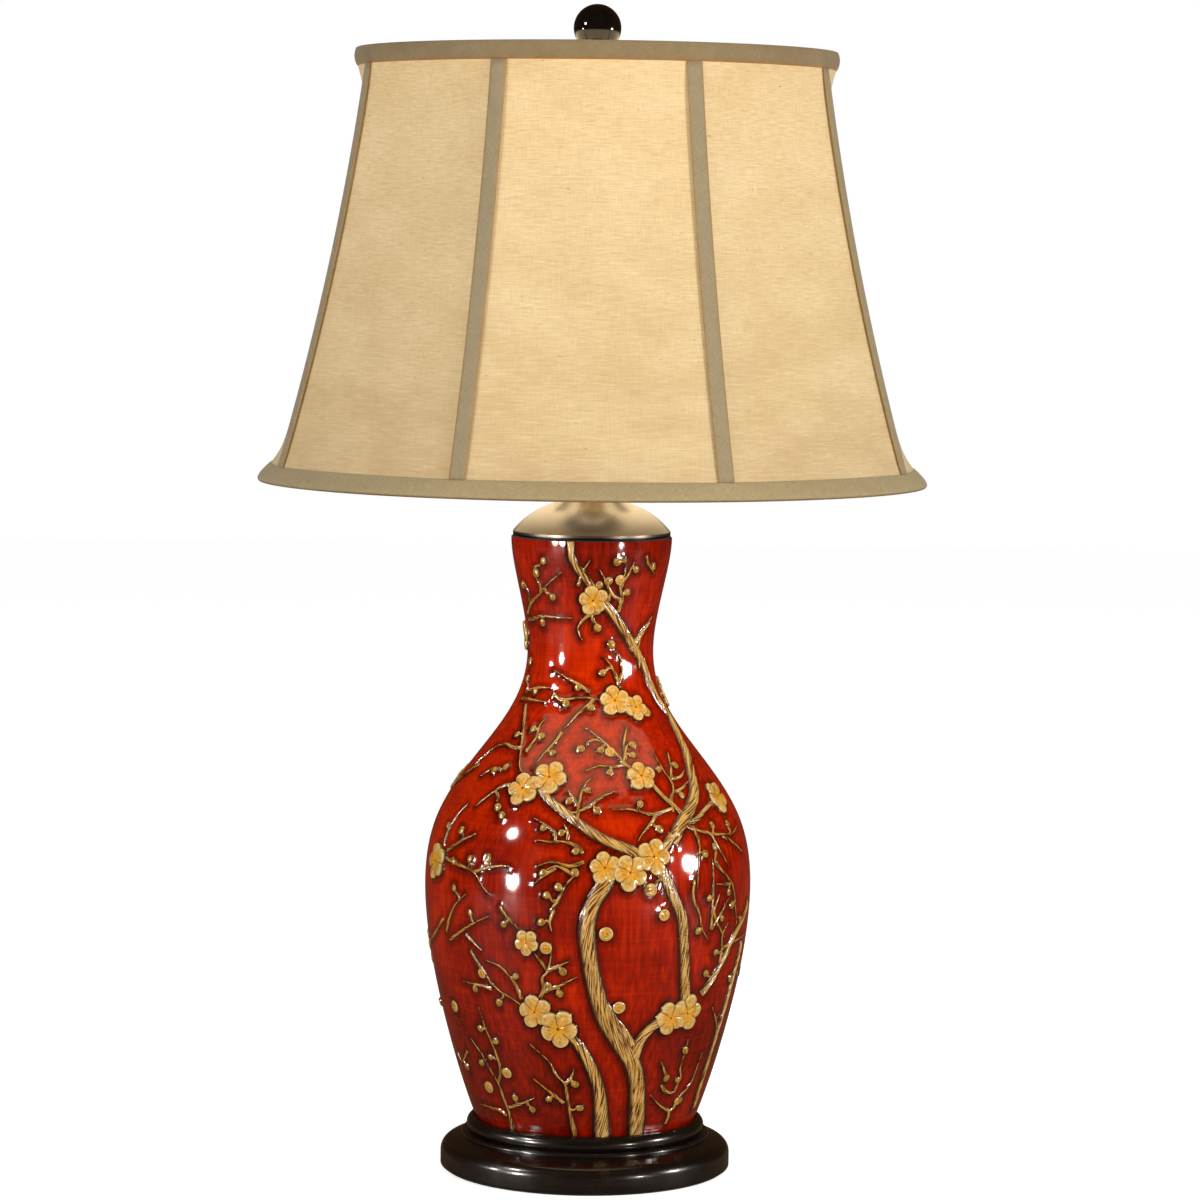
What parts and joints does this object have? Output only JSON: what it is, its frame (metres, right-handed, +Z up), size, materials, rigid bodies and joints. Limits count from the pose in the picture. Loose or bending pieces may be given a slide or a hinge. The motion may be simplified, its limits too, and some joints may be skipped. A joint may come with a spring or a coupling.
{
  "type": "table lamp",
  "caption": "Table lamp: glazed baluster vase on a turned wooden base, metal cap, lamp socket, harp and panelled bell shade under a ball finial.",
  "frame": {"origin": "on the table under the lamp's own axis, at the underside of the felt ring", "axes": "+Z up along the lamp's axis, -Y towards the front with the switch knob, +X to the viewer's right"},
  "size_m": [0.457, 0.457, 0.7992],
  "materials": {
    "felt": "dense dark green-black felt",
    "base_wood": "turned hardwood, satin black-brown lacquer",
    "black_plastic": "moulded black phenolic, soft gloss",
    "zinc_steel": "zinc-plated steel, dull",
    "glaze": "deep red-orange brushed glaze on porcelain, glossy, with gilt relief boughs",
    "gasket": "matt black rubber",
    "satin_nickel": "spun metal, satin nickel",
    "harp_nickel": "nickel-plated wire and turnings, soft gloss",
    "socket_brass": "satin brass sheet",
    "liner_paper": "pressed-paper insulating tube",
    "socket_core": "moulded phenolic",
    "contact_brass": "bright brass",
    "solder": "solder button",
    "bulb_insulator": "black glass insulator",
    "bulb_cap": "rolled aluminium screw cap",
    "bulb_glass": "soft-white frosted glass",
    "stem_glass": "clear glass stem",
    "shade_wire": "white-coated steel wire",
    "spider_wire": "nickel-plated steel wire and hub",
    "shade_cloth": "cream slubbed cloth, stretched, warm from the lamp inside",
    "rib_tape": "taupe bias tape with a fine edge",
    "edge_trim": "grey-beige rolled binding",
    "lining": "off-white hardback lining",
    "finial_black": "high-gloss black lacquered ball"
  },
  "bodies": {
    "stand": {"base_felt": "felt", "turned_base": "base_wood", "cord_bushing": "black_plastic", "threaded_rod": "zinc_steel", "base_washer": "zinc_steel", "base_nut": "zinc_steel", "neck_nut": "zinc_steel", "vase": "glaze", "foot_gasket": "gasket", "rim_gasket": "gasket", "vase_cap": "satin_nickel", "harp_saddle": "harp_nickel", "harp_arm_left": "harp_nickel", "harp_arm_right": "harp_nickel", "harp_collar": "harp_nickel", "socket_cap": "socket_brass", "socket_shell": "socket_brass", "socket_liner": "liner_paper", "socket_core": "socket_core", "screw_shell": "contact_brass", "centre_contact": "contact_brass", "terminal_screws": "contact_brass", "socket_set_screw": "zinc_steel"},
    "switch": {"switch_shaft": "contact_brass", "switch_knob": "black_plastic"},
    "left_sleeve": {"harp_sleeve_left": "harp_nickel"},
    "right_sleeve": {"harp_sleeve_right": "harp_nickel"},
    "shade": {"shade_swivel": "harp_nickel", "shade_top_ring": "shade_wire", "shade_bottom_ring": "shade_wire", "shade_rib_wires": "shade_wire", "shade_spider": "spider_wire", "finial_washer": "harp_nickel", "shade_panel_1": "shade_cloth", "shade_panel_2": "shade_cloth", "shade_panel_3": "shade_cloth", "shade_panel_4": "shade_cloth", "shade_panel_5": "shade_cloth", "shade_panel_6": "shade_cloth", "shade_panel_7": "shade_cloth", "shade_panel_8": "shade_cloth", "rib_trim_1": "rib_tape", "rib_trim_2": "rib_tape", "rib_trim_3": "rib_tape", "rib_trim_4": "rib_tape", "rib_trim_5": "rib_tape", "rib_trim_6": "rib_tape", "rib_trim_7": "rib_tape", "rib_trim_8": "rib_tape", "shade_lining": "lining", "shade_top_trim": "edge_trim", "shade_bottom_trim": "edge_trim"},
    "insert": {"finial_insert": "harp_nickel"},
    "finial": {"finial_base": "harp_nickel", "finial_ball": "finial_black"},
    "bulb_foot": {"bulb_contact": "solder"},
    "bulb": {"bulb_insulator": "bulb_insulator", "bulb_cap": "bulb_cap", "bulb_glass": "bulb_glass", "bulb_stem": "stem_glass"}
  },
  "joints": [
    {"name": "switch_turn", "type": "hinge", "parent": "stand", "child": "switch", "pos_m": [0, -0.02, 0.514], "axis": [0, -1, 0], "continuous": true},
    {"name": "left_sleeve_lift", "type": "slide", "parent": "stand", "child": "left_sleeve", "axis": [0, 0, 1], "range_m": [0, 0.012]},
    {"name": "right_sleeve_lift", "type": "slide", "parent": "stand", "child": "right_sleeve", "axis": [0, 0, 1], "range_m": [0, 0.012]},
    {"name": "shade_turn", "type": "hinge", "parent": "stand", "child": "shade", "pos_m": [0, 0, 0.745], "axis": [0, 0, 1], "continuous": true},
    {"name": "finial_lift", "type": "slide", "parent": "shade", "child": "insert", "axis": [0, 0, 1], "range_m": [0, 0.0076]},
    {"name": "finial_turn", "type": "hinge", "parent": "insert", "child": "finial", "pos_m": [0, 0, 0.755], "axis": [0, 0, 1], "range_deg": [0, 2880]},
    {"name": "bulb_lift", "type": "slide", "parent": "stand", "child": "bulb_foot", "axis": [0, 0, 1], "range_m": [0, 0.0182]},
    {"name": "bulb_turn", "type": "hinge", "parent": "bulb_foot", "child": "bulb", "pos_m": [0, 0, 0.54], "axis": [0, 0, 1], "range_deg": [0, 1800]}
  ],
  "couplings": [
    {"joint": "finial_lift", "follows": "finial_turn", "m_per_rad": 0.00014972},
    {"joint": "bulb_lift", "follows": "bulb_turn", "m_per_rad": 0.0005775}
  ]
}
